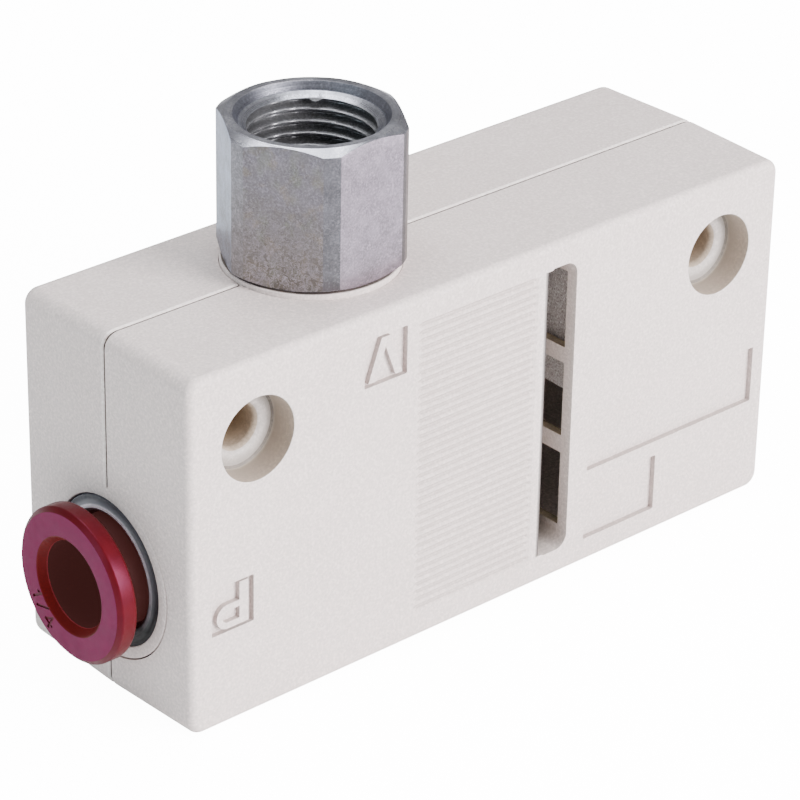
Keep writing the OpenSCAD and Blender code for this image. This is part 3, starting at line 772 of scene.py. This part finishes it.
# ---------------------------------------------------------------- vacuum port
def build_port():
    top, z0, r_flat, r_bot, rt, ap = 25.8, HH + 0.38, 6.25, 6.3, 7.0, 6.35
    tan30 = math.tan(math.radians(30))
    wcor = 30 - math.degrees(math.acos(ap / rt))
    ths = []
    for c in range(6):
        base = 1.5 + 60 * c
        ths += [base - wcor, base - wcor * 0.5, base, base + wcor * 0.5, base + wcor]
        m = 14
        for i in range(1, m):
            ths.append(base + wcor + (60 - 2 * wcor) * i / m)
    n = len(ths)
    def rh(t):
        d = (t - 31.5 + 30) % 60 - 30
        return min(rt, ap / math.cos(math.radians(d)))
    R = [rh(t) for t in ths]
    rings = []
    cs = [(math.cos(math.radians(t)), math.sin(math.radians(t))) for t in ths]
    ring = lambda rs, zs: [(PX + r * c, r * s, z) for (c, s), r, z in zip(cs, rs, zs)]
    const = lambda v: [v] * n
    # inside, from the bottom up to the top face
    rings.append(ring(const(2.6), const(4.4)))
    rings.append(ring(const(2.6), const(15.2)))
    rings.append(ring(const(4.35), const(15.9)))
    # internal thread: a right-hand groove cut into the bore
    pitch, zt0, zt1 = 0.941, 16.32, 24.79
    rings.append(ring(const(4.35), const(zt0 - 0.3)))
    steps = int((zt1 - zt0) / pitch * 20)
    for i in range(steps + 1):
        z = zt0 + (zt1 - zt0) * i / steps
        rs = []
        for t in ths:
            u = ((z - zt0) / pitch - t / 360.0) % 1.0
            v = 1 - abs(2 * u - 1)                 # 0 at the crest, 1 at the root
            v = min(max((v - 0.10) / 0.78, 0), 1)
            fade = min(1, (z - zt0) / 0.9)
            rs.append(4.36 + (z - zt0) / 32 + 0.62 * v * fade)
        rings.append(ring(rs, const(z)))
    # a chip of plating hangs at the start of the thread
    chip = [max(0.0, 1 - ((t - 47) / 6.0) ** 2) for t in ths]
    rings.append(ring([4.66 - 0.16 * c for c in chip], [top - 0.98 - 0.22 * c for c in chip]))
    rings.append(ring([4.70 - 0.05 * c for c in chip], [top - 0.96 + 0.03 * c for c in chip]))
    rings.append(ring(const(5.16), const(top - 0.60)))
    rings.append(ring(const(5.22), const(top - 0.62)))
    rings.append(ring(const(5.27), const(top - 0.56)))
    rings.append(ring(const(5.61), const(top - 0.05)))
    rings.append(ring(const(5.66), const(top)))
    rings.append(ring(const(r_flat - 0.06), const(top)))
    rings.append(ring(const(r_flat), const(top - 0.03)))
    # outside, down to the bottom face
    zc = [top - (r - r_flat) * tan30 for r in R]
    zb = [z0 + (r - r_bot) * tan30 for r in R]
    lerp = lambda a, b, k: [x + (y - x) * k for x, y in zip(a, b)]
    e = 0.07
    rings.append(ring([r - e * 0.87 for r in R], [z + e * 0.5 for z in zc]))
    rings.append(ring([r - e * 0.22 for r in R], [z + e * 0.02 for z in zc]))
    rings.append(ring(R, [z - e for z in zc]))
    for k in (0.1, 0.3, 0.5, 0.7, 0.9):
        rings.append(ring(R, lerp(zc, zb, k)))
    rings.append(ring(R, [z + e for z in zb]))
    rings.append(ring([r - e * 0.22 for r in R], [z - e * 0.02 for z in zb]))
    rings.append(ring([r - e * 0.87 for r in R], [z - e * 0.5 for z in zb]))
    rings.append(ring(const(r_bot), const(z0 + 0.03)))
    rings.append(ring(const(r_bot - 0.05), const(z0)))
    rings.append(ring(const(5.0), const(z0)))
    for z, r in ((11.02, 5.0), (11.0, 6.2), (9.0, 6.2), (8.98, 5.0), (7.0, 5.0), (6.98, 4.05), (5.72, 4.05), (5.7, 5.0), (4.4, 5.0)):
        rings.append(ring(const(r), const(z)))
    rings.append(rings[0])
    ob = loft("port_adapter_skin", rings, caps=False)
    return ob


def port_rule(c, n):
    """facets, turned corners, turned ends, countersink, thread and its crests; each gets its own tone of the one
    plating, as painted reflection, highlight and shade
    """
    r = math.hypot(c.x - PX, c.y); d = 25.8 - c.z
    if r < 5.25 and d > 0.97:
        return 7 if r < 4.36 + max(c.z - 16.32, 0) / 32 + 0.07 and d < 9.0 else 6
    if r < 5.24 and d > 0.01: return 9
    if r < 5.63 and d > 0.01: return 5
    if abs(n.z) > 0.35: return 4
    t = (math.degrees(math.atan2(c.y, c.x - PX)) - 31.5 + 30) % 360
    if abs((t % 60) - 30) > 24.7: return (10 if t < 200 else 3) if 120 < t < 300 else 0
    return {2: 1, 3: 2, 4: 8}.get(int(t // 60), 0)


port = place(build_port(), "housing", ["port_adapter"], nickel.m, weighted=False, angle=18)
by_polygon(port, [nickel_left, nickel_mid, nickel_strip, nickel_t, nickel_c, nickel_b, nickel_k, nickel_right, nickel_d, nickel_strip2], port_rule)

cp = round_poly([(12.25, 5.06), (HH + 0.29, 5.06), (HH + 0.30, 6.0), (HH + 0.30, 6.47), (HH + 0.30, 6.6), (12.25, 6.6)], [0.05, 0.05, 0, 0, 0.10, 0.05], 5)
collar = place(revolve("port_collar_skin", cp, "Z", 128, (PX, 0, 0)), "housing", ["port_collar"], casing.m, angle=40)
# painted shade on the collar's top where it lies under the hexagon
by_polygon(collar, [seam_shade], lambda c, n: 1 if n.z > 0.9 and math.hypot(c.x - PX, c.y) < 6.48 else 0)

# ---------------------------------------------------------------- felt
def build_felt():
    x0, x1, y0, y1, z0, z1 = 8.45, 18.05, -FD + 1.1, RD - 1.5, 0.3, 12.1
    bm = bmesh.new()
    bmesh.ops.create_cube(bm, size=1.0)
    for v in bm.verts:
        v.co = Vector(((x0 + x1) / 2 + v.co.x * (x1 - x0), (y0 + y1) / 2 + v.co.y * (y1 - y0), (z0 + z1) / 2 + v.co.z * (z1 - z0)))
    bmesh.ops.subdivide_edges(bm, edges=bm.edges, cuts=47, use_grid_fill=True)
    c = Vector(((x0 + x1) / 2, (y0 + y1) / 2, (z0 + z1) / 2))
    for v in bm.verts:
        p = v.co.copy()
        n1 = noise.noise(p * 1.1) * 0.5 + noise.noise(p * 3.1) * 0.3 + noise.noise(p * 7.0) * 0.2
        d = 0.02 + 0.26 * (0.5 + 0.5 * n1)
        if p.z < z0 + 0.01:
            v.co.z += 0.02 + 0.20 * (0.5 + 0.5 * noise.noise(Vector((p.x * 0.6, p.y * 0.8, 3.3)))) + d * 0.5
        if p.z > z1 - 0.01: v.co.z -= d
        if p.x < x0 + 0.01: v.co.x += d
        if p.x > x1 - 0.01: v.co.x -= d
        if p.y < y0 + 0.01: v.co.y += d
        if p.y > y1 - 0.01: v.co.y -= d
    me = bpy.data.meshes.new("silencer_felt_skin"); bm.to_mesh(me); bm.free()
    ob = bpy.data.objects.new("silencer_felt_skin", me); scene.collection.objects.link(ob)
    return ob


place(build_felt(), "housing", ["silencer_felt"], felt.m, weighted=False, angle=80)

# ---------------------------------------------------------------- kept CAD parts
for nm, mt in (("chuck", steel), ("collet", brass), ("tube_seal", rubber), ("seat_oring", rubber), ("nozzle", brass), ("nozzle_oring", rubber),
               ("diffuser", white), ("diffuser_oring", rubber), ("port_oring", rubber)):
    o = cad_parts[nm]
    o.data.materials.clear(); o.data.materials.append(mt.m)

# ---------------------------------------------------------------- stage
def floor():
    bm = bmesh.new()
    bmesh.ops.create_grid(bm, x_segments=4, y_segments=4, size=1.6)
    me = bpy.data.meshes.new("floor"); bm.to_mesh(me); bm.free()
    ob = bpy.data.objects.new("floor", me); scene.collection.objects.link(ob)
    ob.location.z = CAD_LO.z - 0.00002
    m = Mat("floor_paper")
    m.set(Base_Color=m.mix(m.maprange(m.noise(60, 2), 0.4, 0.6, 0, 1), (0.93, 0.93, 0.93, 1), (0.9, 0.9, 0.9, 1)), Roughness=0.9, Specular_IOR_Level=0.1)
    # the paper is burnt out to white for the eye alone, and lights the part as plain paper
    lp = m.node("ShaderNodeLightPath")
    m.set(Emission_Color=(1, 1, 1, 1), Emission_Strength=m.maprange(lp.outputs["Is Camera Ray"], 0, 1, 0, 13.0))
    me.materials.append(m.m)


floor()


def area(name, loc, target, size, power, col=(1, 1, 1), size_y=None):
    li = bpy.data.lights.new(name, "AREA"); li.energy = power; li.color = col
    li.shape = "RECTANGLE"; li.size = size; li.size_y = size_y or size
    ob = bpy.data.objects.new(name, li); scene.collection.objects.link(ob)
    ob.location = loc
    ob.rotation_euler = (Vector(target) - Vector(loc)).to_track_quat("-Z", "Y").to_euler()
    return ob


C = (0, 0, 0.018)
area("key_front", (0.16, -0.55, 0.24), C, 0.36, 11.4, (1.0, 0.98, 0.99))
area("top", (0.02, 0.10, 0.60), C, 0.45, 4.25, (0.975, 1.0, 1.03))
area("left", (-0.55, 0.05, 0.20), C, 0.30, 1.05, (0.78, 0.99, 1.06))

w = bpy.data.worlds.new("studio"); scene.world = w; w.use_nodes = True
w.node_tree.nodes["Background"].inputs[0].default_value = (1, 1, 1, 1)
w.node_tree.nodes["Background"].inputs[1].default_value = 0.35

# ---------------------------------------------------------------- camera
K = 0.96
pos = Vector((-174.971 * K, -193.274 * K, 139.756 * K))
right = Vector((0.749838, -0.661403, 0.016975))
down = Vector((-0.302586, -0.365634, -0.880201))
fwd = Vector((0.588374, 0.654872, -0.474298))
cam = bpy.data.cameras.new("cam"); co = bpy.data.objects.new("cam", cam); scene.collection.objects.link(co)
cam.sensor_width = 36; cam.lens = 3785.48 * 36 / 800
cam.clip_start, cam.clip_end = 0.01, 10
M = Matrix((right, -down, -fwd)).transposed().to_4x4()
M.translation = (pos + OFF) * 0.001
co.matrix_world = M
scene.camera = co

bpy.context.view_layer.update()
